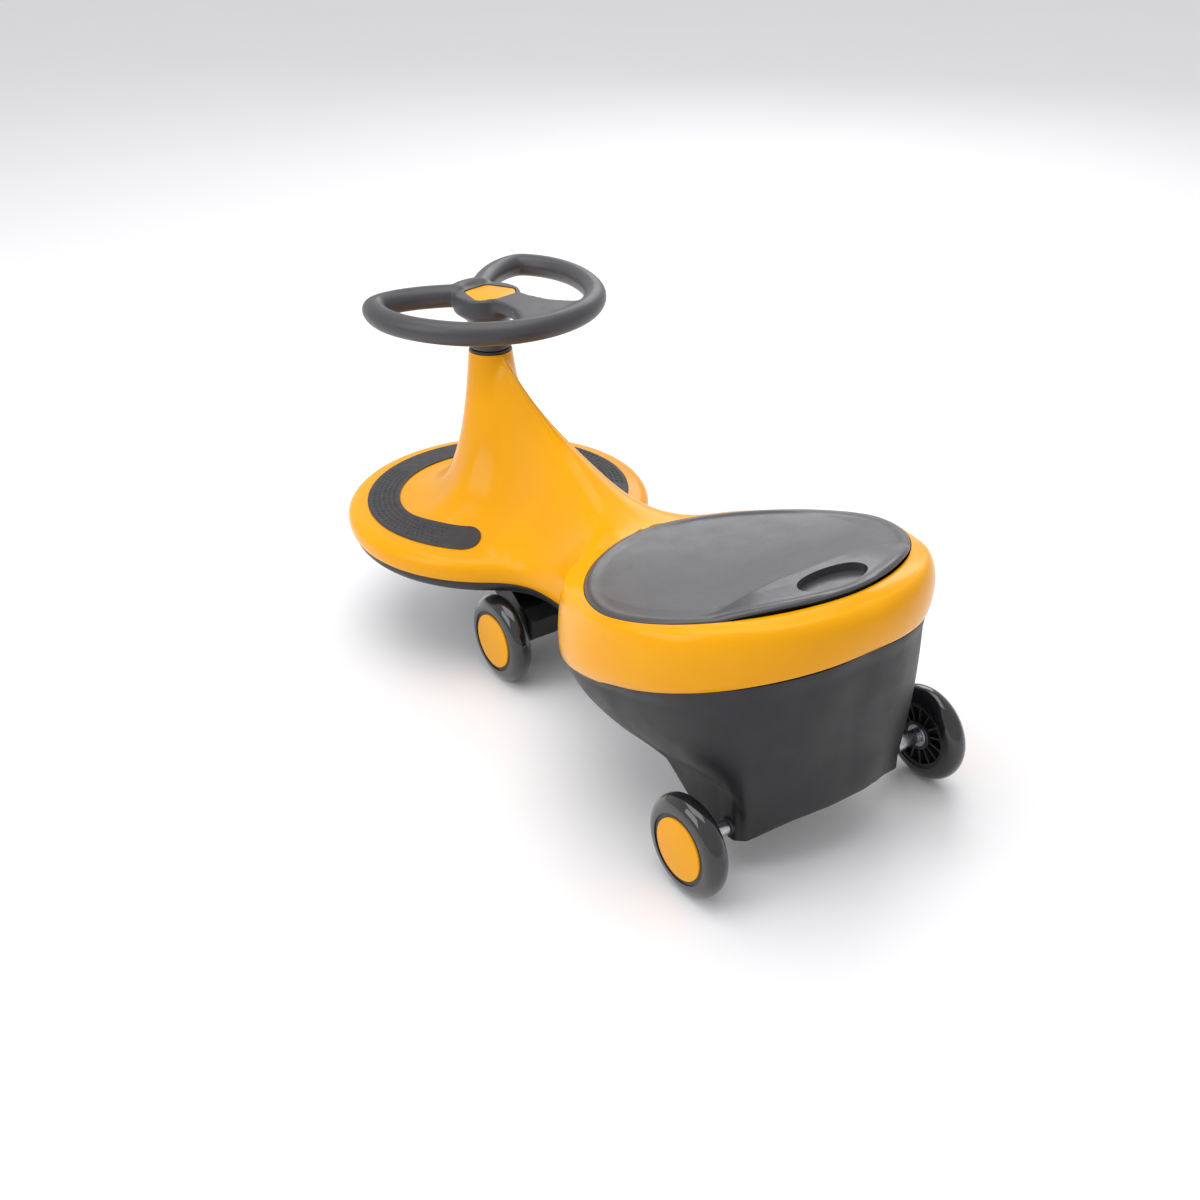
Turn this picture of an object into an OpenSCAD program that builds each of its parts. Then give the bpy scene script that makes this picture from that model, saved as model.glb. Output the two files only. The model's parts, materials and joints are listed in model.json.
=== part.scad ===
// Child's swing car: a round foot platform and a seat bowl joined by a narrow waist, a
// steering wheel on an upright shaft, and a two-wheeled bogie that trails behind the shaft.
// Front is -Y, left is +X, the floor is z = 0 and the origin is midway along the car.

/* [Body] */
// Length from the front of the foot platform to the back of the seat
overall_length = 750; // [720:5:780]
// Radius of the round foot platform
platform_radius = 165; // [158:1:172]
// Half width of the waist between platform and seat
waist_half_width = 66; // [60:1:72]
// Half width of the seat bowl at its widest
bowl_half_width = 160; // [152:1:168]
// Half length of the seat bowl
bowl_half_length = 168; // [160:1:174]
// Wall of both body shells
shell_wall = 3; // [2.5:0.5:4]
// Height of the shells' parting line round the platform
parting_height = 112; // [110:1:116]
// Rise of the parting line for each millimetre towards the back of the bowl
parting_slope = 0.31; // [0.26:0.01:0.34]
// Depth of the lower shell's edge below the parting line at the platform
pan_depth = 13; // [11:1:14]

/* [Seat] */
// Half width of the seat opening
seat_half_width = 152; // [144:1:154]
// Half length of the seat opening
seat_half_length = 142; // [134:1:144]
// Height of the seat at the middle of its opening
seat_height = 227; // [222:1:235]
// Rise of the seat for each millimetre towards its back
seat_slope = 0.2; // [0.16:0.01:0.24]
// Thickness of the moulded seat at its edge
seat_thickness = 9; // [8:1:11]
// Gap all round the seat in its opening
seat_gap = 0.5; // [0.3:0.1:0.8]
// Height of the raised lip along the back of the seat
lip_rise = 9; // [6:1:10]
// Width of the oval finger recess in the lip
recess_width = 68; // [60:1:72]
// Depth of the oval finger recess
recess_depth = 6; // [5:0.5:6.5]

/* [Steering] */
// Height of the top of the steering neck
neck_height = 304; // [298:1:308]
// Outer radius of the steering neck
neck_radius = 23; // [22:0.5:25]
// Diameter of the steering shaft
shaft_d = 16; // [15:0.5:18]
// Radial running clearance of the shaft in its bushes
shaft_clearance = 0.05; // [0.03:0.01:0.08]
// Outer radius of the steering wheel
steering_radius = 123; // [116:1:126]
// Angle by which the steering wheel is set round on its shaft
wheel_turn = 10; // [0:1:15]
// Radius of the steering wheel's rim tube
rim_tube = 12; // [11:0.5:13]
// Height of the middle of the steering wheel's rim
rim_height = 359; // [352:1:362]
// Distance that the front axle trails behind the steering shaft
trail = 137; // [132:1:142]

/* [Wheels] */
// Diameter of all four wheels
wheel_d = 94; // [90:1:96]
// Width of the tyres
tyre_width = 23; // [22:0.5:25]
// Radius of the seat between wheel core and tyre
core_radius = 33; // [31:0.5:34]
// Distance between the middles of the rear wheels
rear_track = 280; // [274:2:288]
// Distance between the middles of the front wheels
front_track = 172; // [168:2:178]
// Distance of the rear axle from the back of the car
rear_axle_inset = 64; // [60:1:70]
// Diameter of both axles
axle_d = 8; // [8:0.5:9]
// Radial running clearance of the bearings on the axles
axle_clearance = 0.05; // [0.03:0.01:0.08]
// Outer diameter of the wheel bearings
bearing_d = 22; // [21:0.5:24]
// Width of each wheel bearing
bearing_w = 7; // [6:0.5:7]
// Radius of the coloured wheel caps
cap_radius = 29; // [27:0.5:30]

/* [Hidden] */
$fn = 64;

yellow = "#F9B014";
charcoal = "#3B3A3F";
black_plastic = "#232326";
smoke_black = "#17171A";
steel = "#B9BBC0";

axis_y = platform_radius - overall_length / 2;      // steering axis, middle of the platform
front_axle_y = axis_y + trail;
rear_axle_y = overall_length / 2 - rear_axle_inset;
axle_z = wheel_d / 2;
bowl_y = overall_length / 2 - bowl_half_length;
seat_y = bowl_y - 1;
pan_z = parting_height - pan_depth;                 // underside of the platform
parting_gap = 0.3;
platform_rim = 26;                                  // platform's flat top above the parting line
platform_top = parting_height + platform_rim;
waist_y = axis_y + 1.32 * platform_radius;
arc_end = 52;                                       // where the edge leaves the platform's circle
bowl_start = -50;
bush_bore_r = shaft_d / 2 + shaft_clearance;
sleeve_r = neck_radius - shell_wall - 0.5;
sleeve_wall = 2;
flange_t = 3;
flange_r = neck_radius - 1;

// ---- plan curves ------------------------------------------------------------------------

function mix(a, b, t) = a + (b - a) * t;
function clamp01(t) = min(1, max(0, t));
function ease(t) = let (c = clamp01(t)) c * c * (3 - 2 * c);
function unit(v) = v / norm(v);
function arc(r, a) = [r * cos(a), axis_y + r * sin(a)];
function oval(a, hw, hl, cy, p, taper = 0) = [
    hw * pow(max(0, cos(a)), 2 / p) * (1 + taper * sin(a)),
    cy + hl * sign(sin(a)) * pow(abs(sin(a)), 2 / p)];
function bezier(a, b, c, d, t) = let (s = 1 - t)
    s * s * s * a + 3 * s * s * t * b + 3 * s * t * t * c + t * t * t * d;

function bowl_edge(a) = oval(a, bowl_half_width, bowl_half_length, bowl_y, 2.12);
function seat_edge(a, inset = 0) =
    oval(a, seat_half_width - inset, seat_half_length - inset, seat_y, 1.8, 0.07);

// Half of the body's outline, from the front tip over the waist to the back tip
waist = [waist_half_width, waist_y];
arc_last = arc(platform_radius, arc_end);
bowl_first = bowl_edge(bowl_start);
bowl_dir = unit(bowl_edge(bowl_start + 1) - bowl_edge(bowl_start - 1));
ribs_a = 14;                                        // ribs round the platform
ribs_b = 5;                                         // ribs on each side of the waist
ribs_c = 18;                                        // ribs round the bowl
outline = concat(
    [for (i = [0:ribs_a]) arc(platform_radius, mix(-90, arc_end, i / ribs_a))],
    [for (i = [1:ribs_b]) bezier(arc_last, arc_last + 46 * [-sin(arc_end), cos(arc_end)],
        waist - [0, 40], waist, i / ribs_b)],
    [for (i = [1:ribs_b]) bezier(waist, waist + [0, 30], bowl_first - 30 * bowl_dir, bowl_first,
        i / ribs_b)],
    [for (i = [1:ribs_c]) bowl_edge(mix(bowl_start, 90, i / ribs_c))]);
last = len(outline) - 1;
neck_last = ribs_a - 2;                             // rib that leaves the back of the neck
seat_first = ribs_a + 2 * ribs_b;                   // rib that leaves the front of the seat

// Heights along the body
function soft_ramp(v, c) = (v + sqrt(v * v + c * c)) / 2;
function parting_z(y) = parting_height
    + parting_slope * soft_ramp(y - (bowl_y - 153), 30) - 0.1;
function seat_z(y) = seat_height + seat_slope * (y - seat_y) + 1.8 * pow((y - seat_y) / 100, 2);
spine_y0 = axis_y + neck_radius;
spine_y1 = seat_y - seat_half_length;
function spine_y(i) = mix(spine_y0, spine_y1, pow((i - neck_last) / (seat_first - neck_last), 0.9));
function spine_z(y) = let (v = clamp01((y - spine_y0) / (spine_y1 - spine_y0)))
    seat_z(spine_y1) + (neck_height - seat_z(spine_y1)) * pow(1 - v, 1.55);

// Start of each rib: neck circle, then spine, then seat opening
function seat_rib_angle(i) = let (s = (i - seat_first) / (last - seat_first))
    -90 + 180 * (1 - pow(1 - s, 1.6));
function rib_start(i) =
    i <= neck_last ? concat(arc(neck_radius, -90 + 180 * i / neck_last), neck_height) :
    i < seat_first ? [0, spine_y(i), spine_z(spine_y(i))] :
    let (p = seat_edge(seat_rib_angle(i))) [p[0], p[1], seat_z(p[1])];

// ---- upper shell ------------------------------------------------------------------------

slope_steps = 10;
shoulder_steps = 4;
skirt_steps = 3;
function shoulder(i) = let (
        s = rib_start(i), e = outline[i], d = norm([s[0], s[1]] - e),
        t = 1 - min(16, 0.75 * d) / d, p = mix([s[0], s[1]], e, t),
        rise = ease((e[1] - waist_y + 90) / 170))
    [p[0], p[1], mix(platform_top, seat_z(s[1]) - 3, i < neck_last ? 0 : rise)];
function bulge_z(i) = let (y = outline[i][1])
    parting_z(y) + mix(13, 27, ease((y - waist_y) / 140));
function parting_inset(i) = mix(4, 9.5, ease((outline[i][1] - waist_y) / 140));
function inward(i) = let (s = rib_start(i), e = outline[i]) unit([s[0], s[1]] - e);
function parting(i) = let (p = outline[i] + parting_inset(i) * inward(i))
    [p[0], p[1], parting_z(outline[i][1])];
function fall_cone(t, k) = (exp(-k * t) - exp(-k)) / (1 - exp(-k));
function fall_bell(t, c) = let (e = 1 / (1 + 1 / (c * c)))
    (1 / (1 + pow(t / c, 2)) - e) / (1 - e);
function fall(i, t, d) = let (
        cone = fall_cone(t, d / mix(16.5, 70, pow(i / neck_last, 6))),
        bell = fall_bell(t, mix(26, 150, pow(clamp01((i - ribs_a) / 6), 1.2)) / d),
        seat = cos(90 * t))
    i <= neck_last ? mix(cone, bell, ease((i - neck_last + 3) / 4)) :
    mix(bell, seat, ease((i - seat_first + 9) / 6));
function slope_point(i, j) = let (
        s = rib_start(i), e = shoulder(i), t = pow(j / slope_steps, 1.35),
        d = norm([s[0] - e[0], s[1] - e[1]]))
    [mix(s[0], e[0], t), mix(s[1], e[1], t), e[2] + (s[2] - e[2]) * fall(i, t, d)];
function rim_point(i, j) = let (
        s = shoulder(i), e = outline[i], b = bulge_z(i), p = parting(i),
        up = j <= shoulder_steps, a = up ? 90 * j / shoulder_steps : 90 * (j - shoulder_steps) / skirt_steps)
    up ? [mix(s[0], e[0], sin(a)), mix(s[1], e[1], sin(a)), mix(b, s[2], cos(a))] :
    [mix(p[0], e[0], cos(a)), mix(p[1], e[1], cos(a)), mix(b, p[2], sin(a))];
upper_rings = slope_steps + shoulder_steps + skirt_steps;
upper_outer = [for (i = [0:last]) [for (j = [0:upper_rings])
    j <= slope_steps ? slope_point(i, j) : rim_point(i, j - slope_steps)]];

// ---- shells from ribs -------------------------------------------------------------------

function flip(p) = [-p[0], p[1], p[2]];
function at(g, i, j) = i < 0 ? flip(g[-i][j]) : i > last ? flip(g[2 * last - i][j]) : g[i][j];
// Unit normal of a rib grid, pointing out of the body
function normal(g, i, j, m) = let (
        c = at(g, i + 1, j) - at(g, i - 1, j),
        a = norm(c) < 0.01 ? [-1, 0, 0] : c,
        b = g[i][min(m, j + 1)] - g[i][max(0, j - 1)],
        n = unit(cross(b, a)))
    abs(g[i][j][0]) < 0.01 ? unit([0, n[1], n[2]]) : n;
// Second surface one wall inside the first; its outer edge stays level with the first one's
function inner_grid(g, m, side, wall) = [for (i = [0:last]) [for (j = [0:m])
    j == m ? let (d = inward(i)) g[i][j] + wall * [d[0], d[1], 0] :
    g[i][j] - side * wall * normal(g, i, j, m)]];
// Closed shell: both surfaces on all ribs, welded along the spine from rib w0 to rib w1
module rib_shell(outer, inner, m, w0, w1, turn) {
    n = 2 * last;
    row = m + 1;
    function grid(g) = [for (i = [0:n - 1]) for (j = [0:m])
        let (p = i <= last ? g[i][j] : flip(g[n - i][j])) abs(p[0]) < 0.01 ? [0, p[1], p[2]] : p];
    function welded(i) = i >= w0 && i <= w1;
    function id(i, j, side) = let (k = i % n, r = j == 0 && k > last && welded(n - k) ? n - k : k)
        side * n * row + r * row + j;
    function open(i) = let (k = i < last ? i : n - 1 - i) !(k >= w0 && k < w1);
    function tri(a, b, c) = turn ? [a, c, b] : [a, b, c];
    faces = concat(
        [for (i = [0:n - 1]) for (j = [0:m - 1]) for (f = [0:1])
            f == 0 ? tri(id(i, j, 0), id(i + 1, j, 0), id(i + 1, j + 1, 0)) :
            tri(id(i, j, 0), id(i + 1, j + 1, 0), id(i, j + 1, 0))],
        [for (i = [0:n - 1]) for (j = [0:m - 1]) for (f = [0:1])
            f == 0 ? tri(id(i, j, 1), id(i + 1, j + 1, 1), id(i + 1, j, 1)) :
            tri(id(i, j, 1), id(i, j + 1, 1), id(i + 1, j + 1, 1))],
        [for (i = [0:n - 1]) for (f = [0:1])
            f == 0 ? tri(id(i, m, 0), id(i + 1, m, 0), id(i + 1, m, 1)) :
            tri(id(i, m, 0), id(i + 1, m, 1), id(i, m, 1))],
        [for (i = [0:n - 1]) if (open(i)) for (f = [0:1])
            f == 0 ? tri(id(i, 0, 0), id(i + 1, 0, 1), id(i + 1, 0, 0)) :
            tri(id(i, 0, 0), id(i, 0, 1), id(i + 1, 0, 1))]);
    polyhedron(points = concat(grid(outer), grid(inner)), faces = faces, convexity = 8);
}

// Screws that hold the two shells together under the foot platform
screw_r = 2;
boss_r = 4;
boss_bottom = pan_z + shell_wall + 0.3;
screw_ring = 112;
module at_screws() {
    for (i = [4, 9]) for (side = [-1, 1]) {
        p = on_circle(i, screw_ring);
        $boss_top = p[2] - 2;
        translate([side * p[0], p[1], 0]) children();
    }
}
module upper_shell() {
    color(yellow) difference() {
        union() {
            rib_shell(upper_outer, inner_grid(upper_outer, upper_rings, 1, shell_wall),
                upper_rings, neck_last, seat_first, false);
            at_screws() translate([0, 0, boss_bottom])
                cylinder(h = $boss_top - boss_bottom, r = boss_r);
        }
        at_screws() translate([0, 0, boss_bottom - 1]) cylinder(h = 21, r = screw_r);
    }
}
module shell_screws() {
    color(steel) at_screws() {
        translate([0, 0, pan_z - 2]) cylinder(h = 2, r = 4);
        translate([0, 0, pan_z - 0.5]) cylinder(h = 20, r = screw_r);
    }
}

// ---- lower shell ------------------------------------------------------------------------

wall_steps = 7;
floor_steps = 4;
belly_z = 78;                                       // underside of the seat bowl
beam_z = axle_z - 13;                               // underside of the rear axle beam
beam_half_width = rear_track / 2 - 43;
leg_inner = beam_half_width - 24;                   // inner side of the solid leg round the axle
axle_bush_r = axle_d / 2 + 4;
axle_boss_x = beam_half_width + 3;
pan_hole_r = sleeve_r - sleeve_wall + 0.8;
keel_end = rear_axle_y - 26;
function belly_edge(i) = let (s = clamp01((i - seat_first) / (last - seat_first)))
    oval(mix(-78, 90, pow(s, 0.8)), 104, 108, rear_axle_y - 71, 2.4);
function belly_share(i) = ease((i - ribs_a - ribs_b) / 14);
function parting_low(i) = parting(i) - [0, 0, parting_gap];
function belly(i) = let (w = belly_share(i), p = mix(outline[i] + 12 * inward(i), belly_edge(i), w))
    [p[0], p[1], mix(pan_z, belly_z, w)];
function keel(i) = let (
        y = mix(axis_y + pan_hole_r, keel_end, clamp01((i - neck_last) / (last - neck_last))))
    i <= neck_last ? concat(arc(pan_hole_r, -90 + 180 * i / neck_last), pan_z) :
    [0, y, mix(pan_z, belly_z, ease((y - 25) / 150))];
// Bowl wall: a soft step below the parting line, then a full curve in to the belly
function wall_point(i, j) = let (
        v = j / wall_steps, w = belly_share(i), p = parting_low(i), b = belly(i),
        h = mix(v * v, 0.07 * ease((v - 0.12) / 0.2) + 0.93 * pow(v, 1.8), w))
    [mix(p[0], b[0], h), mix(p[1], b[1], h), mix(p[2], b[2], v)];
lower_rings = wall_steps + floor_steps;
lower_outer = [for (i = [0:last]) [for (j = [0:lower_rings])
    j <= floor_steps ? mix(keel(i), belly(i), j / floor_steps) :
    wall_point(i, lower_rings - j)]];
module rounded_block(x, y0, y1, z, r) {
    translate([0, 0, z]) linear_extrude(1)
        hull() for (sx = [-1, 1]) for (y = [y0 + r, y1 - r])
            translate([sx * (x - r), y]) circle(r, $fn = 24);
}
module axle_beam() {
    difference() {
        union() {
            hull() {
                rounded_block(102, rear_axle_y - 104, rear_axle_y + 32, belly_z, 20);
                rounded_block(beam_half_width, rear_axle_y - 14, rear_axle_y + 16, beam_z, 8);
            }
            translate([0, rear_axle_y, axle_z]) rotate([0, 90, 0])
                cylinder(h = 2 * axle_boss_x, r = axle_bush_r + 3, center = true);
        }
        hull() {
            rounded_block(98, rear_axle_y - 98, rear_axle_y + 28, belly_z - 2, 17);
            rounded_block(leg_inner, rear_axle_y - 11, rear_axle_y + 13, beam_z - 2, 6);
        }
        translate([0, rear_axle_y, axle_z]) rotate([0, 90, 0])
            cylinder(h = 2 * axle_boss_x + 2, r = axle_bush_r, center = true);
    }
}
module lower_shell() {
    color(charcoal) difference() {
        union() {
            rib_shell(lower_outer, inner_grid(lower_outer, lower_rings, -1, shell_wall),
                lower_rings, neck_last, last, true);
            axle_beam();
        }
        at_screws() translate([0, 0, pan_z - 1]) cylinder(h = shell_wall + 2, r = screw_r + 0.3);
    }
}

// ---- seat -------------------------------------------------------------------------------

seat_rings = 9;
seat_sides = 2 * ribs_c;
recess_y = seat_y + 0.76 * seat_half_length;
lip_y = seat_y + 0.56 * seat_half_length;
function lip(x, y) = lip_rise * ease((y - lip_y + 9) / 18) * clamp01(1.15 - pow(x / 100, 2));
function seat_top(p) = seat_z(p[1]) + 1 + lip(p[0], p[1])
    - 5 * pow(max(0, 1 - pow(p[0] / 130, 2) - pow((p[1] - seat_y + 10) / 120, 2)), 2);
function seat_ring(s, inset) = [for (k = [0:seat_sides - 1]) let (
        i = seat_first + (k <= ribs_c ? k : seat_sides - k), p = seat_edge(seat_rib_angle(i), inset),
        q = [k > ribs_c ? -p[0] : p[0], p[1]])
    mix([0, seat_y], q, s)];
module seat() {
    n = seat_sides;
    top = [for (r = [1:seat_rings]) for (p = seat_ring(sin(90 * r / seat_rings), seat_gap))
        [p[0], p[1], seat_top(p) - (r == seat_rings ? 1.5 : 0)]];
    skirt = [for (p = seat_ring(1, seat_gap + 3.2)) [p[0], p[1], seat_z(p[1]) - 3]];
    bottom = [for (p = seat_ring(1, seat_gap + 3.6)) [p[0], p[1], seat_z(p[1]) - seat_thickness]];
    c = len(top) + 2 * n;
    function id(r, k) = r * n + k % n;
    faces = concat(
        [for (k = [0:n - 1]) [c, id(0, k + 1), id(0, k)]],
        [for (r = [0:seat_rings]) for (k = [0:n - 1]) for (f = [0:1])
            f == 0 ? [id(r, k), id(r, k + 1), id(r + 1, k + 1)] :
            [id(r, k), id(r + 1, k + 1), id(r + 1, k)]],
        [for (k = [0:n - 1]) [c + 1, id(seat_rings + 1, k), id(seat_rings + 1, k + 1)]]);
    color(charcoal) difference() {
        polyhedron(points = concat(top, skirt, bottom, [[0, seat_y, seat_top([0, seat_y])],
            [0, seat_y, seat_z(seat_y) - seat_thickness]]), faces = faces, convexity = 4);
        translate([0, recess_y, seat_z(recess_y) + lip_rise - recess_depth])
            rotate([atan(seat_slope), 0, 0])
            linear_extrude(30) polygon([for (a = [0:15:345])
                [recess_width / 2 * cos(a), recess_width / 4.6 * sin(a)]]);
    }
}
// Flat board under the seat, lying along the seat's slope, on four posts from the belly
tray_t = 4;
tray_gap = 0.3;
post_x = 55;
module tray_plane() {
    translate([0, seat_y, seat_height - seat_thickness - tray_gap - tray_t])
        rotate([atan(seat_slope), 0, 0]) linear_extrude(tray_t)
        polygon([for (a = [0:7.5:352.5])
            [(seat_half_width - 7) * cos(a), (seat_half_length - 7) * sin(a)]]);
}
module seat_tray() {
    color(black_plastic) union() {
        tray_plane();
        for (x = [-post_x, post_x]) for (y = [rear_axle_y - 70, rear_axle_y - 12]) {
            base = belly_z + shell_wall + 0.9;
            translate([x, y, base]) cylinder(h = seat_height + seat_slope * (y - seat_y)
                - seat_thickness - tray_t / 2 - base, r = 7);
        }
    }
}

// Charcoal grip strip that runs round the platform, just above the yellow shell
grip_inner = 108;
grip_outer = 143;
grip_rows = 5;
grip_last = ribs_a - 1;                               // rib where each end of the strip lies
grip_lift = 1.2;
grip_t = 1.4;
function on_circle(i, r) = let (
        s = rib_start(i), e = shoulder(i), u = [s[0], s[1] - axis_y], v = [e[0] - s[0], e[1] - s[1]],
        b = u * v, a = v * v, t = (-b + sqrt(b * b - a * (u * u - r * r))) / a)
    [s[0] + t * v[0], s[1] + t * v[1], e[2] + (s[2] - e[2]) * fall(i, t, norm(v))];
function grip_row(i, j) = let (
        w = i >= grip_last ? 0.45 : 1, m = (grip_inner + grip_outer) / 2, h = (grip_outer - grip_inner) / 2)
    on_circle(i, m + w * h * (2 * j / grip_rows - 1));
module foot_grip() {
    n = 2 * grip_last + 1;
    row = grip_rows + 1;
    top = [for (k = [0:n - 1]) for (j = [0:grip_rows])
        let (i = abs(k - grip_last), p = grip_row(i, j)) k < grip_last ? flip(p) : p];
    function lifted(h) = [for (p = top) p + [0, 0, h]];
    function id(k, j, side) = side * n * row + k * row + j;
    quads = concat(
        [for (k = [0:n - 2]) for (j = [0:grip_rows - 1])
            [id(k, j, 0), id(k + 1, j, 0), id(k + 1, j + 1, 0), id(k, j + 1, 0)]],
        [for (k = [0:n - 2]) for (j = [0:grip_rows - 1])
            [id(k, j, 1), id(k, j + 1, 1), id(k + 1, j + 1, 1), id(k + 1, j, 1)]],
        [for (k = [0:n - 2]) for (j = [0, grip_rows]) j == 0 ?
            [id(k, 0, 0), id(k, 0, 1), id(k + 1, 0, 1), id(k + 1, 0, 0)] :
            [id(k, j, 0), id(k + 1, j, 0), id(k + 1, j, 1), id(k, j, 1)]],
        [for (j = [0:grip_rows - 1]) for (k = [0, n - 1]) k == 0 ?
            [id(0, j, 0), id(0, j + 1, 0), id(0, j + 1, 1), id(0, j, 1)] :
            [id(k, j, 0), id(k, j, 1), id(k, j + 1, 1), id(k, j + 1, 0)]]);
    tris = [for (q = quads) for (f = [0:1]) f == 0 ? [q[0], q[1], q[2]] : [q[0], q[2], q[3]]];
    color(charcoal) polyhedron(points = concat(lifted(grip_lift + grip_t), lifted(grip_lift)),
        faces = tris, convexity = 4);
}

// ---- steering column --------------------------------------------------------------------

bush_r = sleeve_r - sleeve_wall;
lower_flange_z = pan_z - flange_t;
thrust_t = 2;
turn_gap = 0.3;
bogie_top = lower_flange_z - turn_gap - thrust_t;
hub_base = neck_height + flange_t + turn_gap;
hub_seat = rim_height - 16;                         // where the steering wheel clamps to the shaft
shaft_foot = bogie_top - 34;
stud_r = 5;
nut_h = 7;
module tube(z0, z1, r_out, r_in) {
    translate([0, 0, z0]) difference() {
        cylinder(h = z1 - z0, r = r_out);
        translate([0, 0, -1]) cylinder(h = z1 - z0 + 2, r = r_in);
    }
}
module hex_nut(z, across, h, r) {
    translate([0, 0, z]) difference() {
        cylinder(h = h, r = across / sqrt(3), $fn = 6);
        translate([0, 0, -1]) cylinder(h = h + 2, r = r);
    }
}
module on_axis() { translate([0, axis_y, 0]) children(); }
module column_sleeve() {
    color(steel) on_axis() tube(pan_z + shell_wall + 0.2, neck_height, sleeve_r, bush_r);
}
module upper_bush() {
    color(black_plastic) on_axis() {
        tube(neck_height, neck_height + flange_t, flange_r, bush_bore_r);
        tube(neck_height - 22, neck_height, bush_r, bush_bore_r);
    }
}
module lower_bush() {
    color(black_plastic) on_axis() {
        tube(lower_flange_z, pan_z, flange_r, bush_bore_r);
        tube(pan_z, pan_z + 24, bush_r, bush_bore_r);
    }
}
module thrust_washer() {
    color(black_plastic) on_axis() tube(bogie_top, bogie_top + thrust_t, 20, shaft_d / 2);
}
module steering_shaft() {
    color(steel) on_axis() {
        translate([0, 0, shaft_foot]) cylinder(h = hub_seat - shaft_foot, r = shaft_d / 2);
        translate([0, 0, shaft_foot - 11]) cylinder(h = hub_seat - shaft_foot + 22, r = stud_r);
    }
}
module hub_washer() {
    color(steel) on_axis() tube(hub_seat + 0.01, hub_seat + 2, 12, stud_r);
}
module hub_nut() {
    color(steel) on_axis() hex_nut(hub_seat + 2, 17, nut_h, stud_r);
}
module bogie_nut() {
    color(steel) on_axis() hex_nut(shaft_foot - 3 - nut_h, 17, nut_h, stud_r);
}

// ---- steering wheel ---------------------------------------------------------------------

rim_line_r = steering_radius - rim_tube;
notch_r = 34;                                       // how near the hub the rim's notch comes
rim_steps = 60;
rim_sides = 12;
lobe = 7;                                           // how far the two front lobes reach out
function rim_r(a) = let (d = abs(a + 90 - 360 * round((a + 90) / 360)))
    mix(rim_line_r + lobe * ease(1 - abs(d - 68) / 50), notch_r, ease((61 - d) / 34));
function rim_at(a) = [rim_r(a) * cos(a), rim_r(a) * sin(a), rim_height];
module rim() {
    points = [for (k = [0:rim_steps - 1]) for (s = [0:rim_sides - 1]) let (
            a = 360 * k / rim_steps, d = unit(rim_at(a + 1) - rim_at(a - 1)),
            b = 360 * s / rim_sides, side = [d[1], -d[0], 0])
        rim_at(a) + rim_tube * (cos(b) * side + sin(b) * [0, 0, 1])];
    function id(k, s) = (k % rim_steps) * rim_sides + s % rim_sides;
    polyhedron(points = points, faces = [
        for (k = [0:rim_steps - 1]) for (s = [0:rim_sides - 1]) for (f = [0:1])
            f == 0 ? [id(k, s), id(k + 1, s + 1), id(k + 1, s)] :
            [id(k, s), id(k, s + 1), id(k + 1, s + 1)]], convexity = 6);
}
cap_gap = 0.4;
cap_drop = 6;                                       // depth of the hub cap's recess
hub_r = 38;
hub_top = rim_height + 7;
module cap_outline(grow) {
    offset(r = 7 + grow) polygon([[-11, -14], [11, -14], [22, 14], [9, 24], [-9, 24], [-22, 14]]);
}
module web_outline() {
    polygon(concat([[-17, 20], [-17, 45]], [for (x = [-42:12:42])
        [x, sqrt(rim_line_r * rim_line_r - x * x)]], [[17, 45], [17, 20]]));
}
module steering_wheel() {
    color(charcoal) on_axis() rotate([0, 0, wheel_turn]) difference() {
        union() {
            rim();
            translate([0, 0, hub_base]) cylinder(h = hub_seat - hub_base + 1, r = flange_r);
            translate([0, 0, hub_seat - 6]) cylinder(h = 10, r1 = flange_r, r2 = hub_r);
            translate([0, 0, hub_seat + 4]) cylinder(h = hub_top - hub_seat - 4, r = hub_r);
            translate([0, 0, rim_height - 5]) linear_extrude(13) web_outline();
        }
        translate([0, 0, hub_base - 1]) cylinder(h = hub_seat - hub_base + 1, r = shaft_d / 2);
        translate([0, 0, hub_seat - 1]) cylinder(h = 2, r = stud_r);
        translate([0, 0, hub_seat]) cylinder(h = 40, r = 14);
        translate([0, 0, hub_top - cap_drop]) linear_extrude(20) cap_outline(cap_gap);
    }
}
module hub_cap() {
    color(yellow) on_axis() rotate([0, 0, wheel_turn]) translate([0, 0, hub_top - cap_drop]) {
        linear_extrude(cap_drop - 2) cap_outline(0);
        translate([0, 0, cap_drop - 2]) linear_extrude(1.5) cap_outline(-1.5);
    }
}

// ---- bogie ------------------------------------------------------------------------------

block_half_width = front_track / 2 - 26;
block_half_length = 14;
module bogie() {
    color(black_plastic) difference() {
        intersection() {
            translate([0, 0, axle_z - 15]) linear_extrude(bogie_top - axle_z + 15) hull() {
                translate([0, axis_y]) circle(32);
                for (x = [-1, 1]) for (y = [-1, 1])
                    translate([x * (block_half_width - 8), front_axle_y + y * (block_half_length - 8)])
                        circle(8);
            }
            rotate([90, 0, 90]) linear_extrude(2 * block_half_width, center = true) polygon([
                [axis_y - 33, bogie_top], [axis_y - 33, bogie_top - 14], [axis_y - 18, shaft_foot - 3],
                [axis_y + 34, shaft_foot - 3], [front_axle_y - 16, axle_z - 9],
                [front_axle_y + 10, axle_z - 9], [front_axle_y + 14, axle_z - 5],
                [front_axle_y + 14, axle_z + 14], [front_axle_y + 4, axle_z + 27],
                [axis_y + 40, bogie_top]]);
        }
        on_axis() translate([0, 0, shaft_foot]) cylinder(h = 60, r = shaft_d / 2);
        on_axis() translate([0, 0, shaft_foot - 4]) cylinder(h = 8, r = stud_r);
        translate([0, front_axle_y, axle_z]) rotate([0, 90, 0])
            cylinder(h = 2 * block_half_width + 2, r = axle_d / 2, center = true);
    }
}

// ---- wheels and axles -------------------------------------------------------------------

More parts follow.
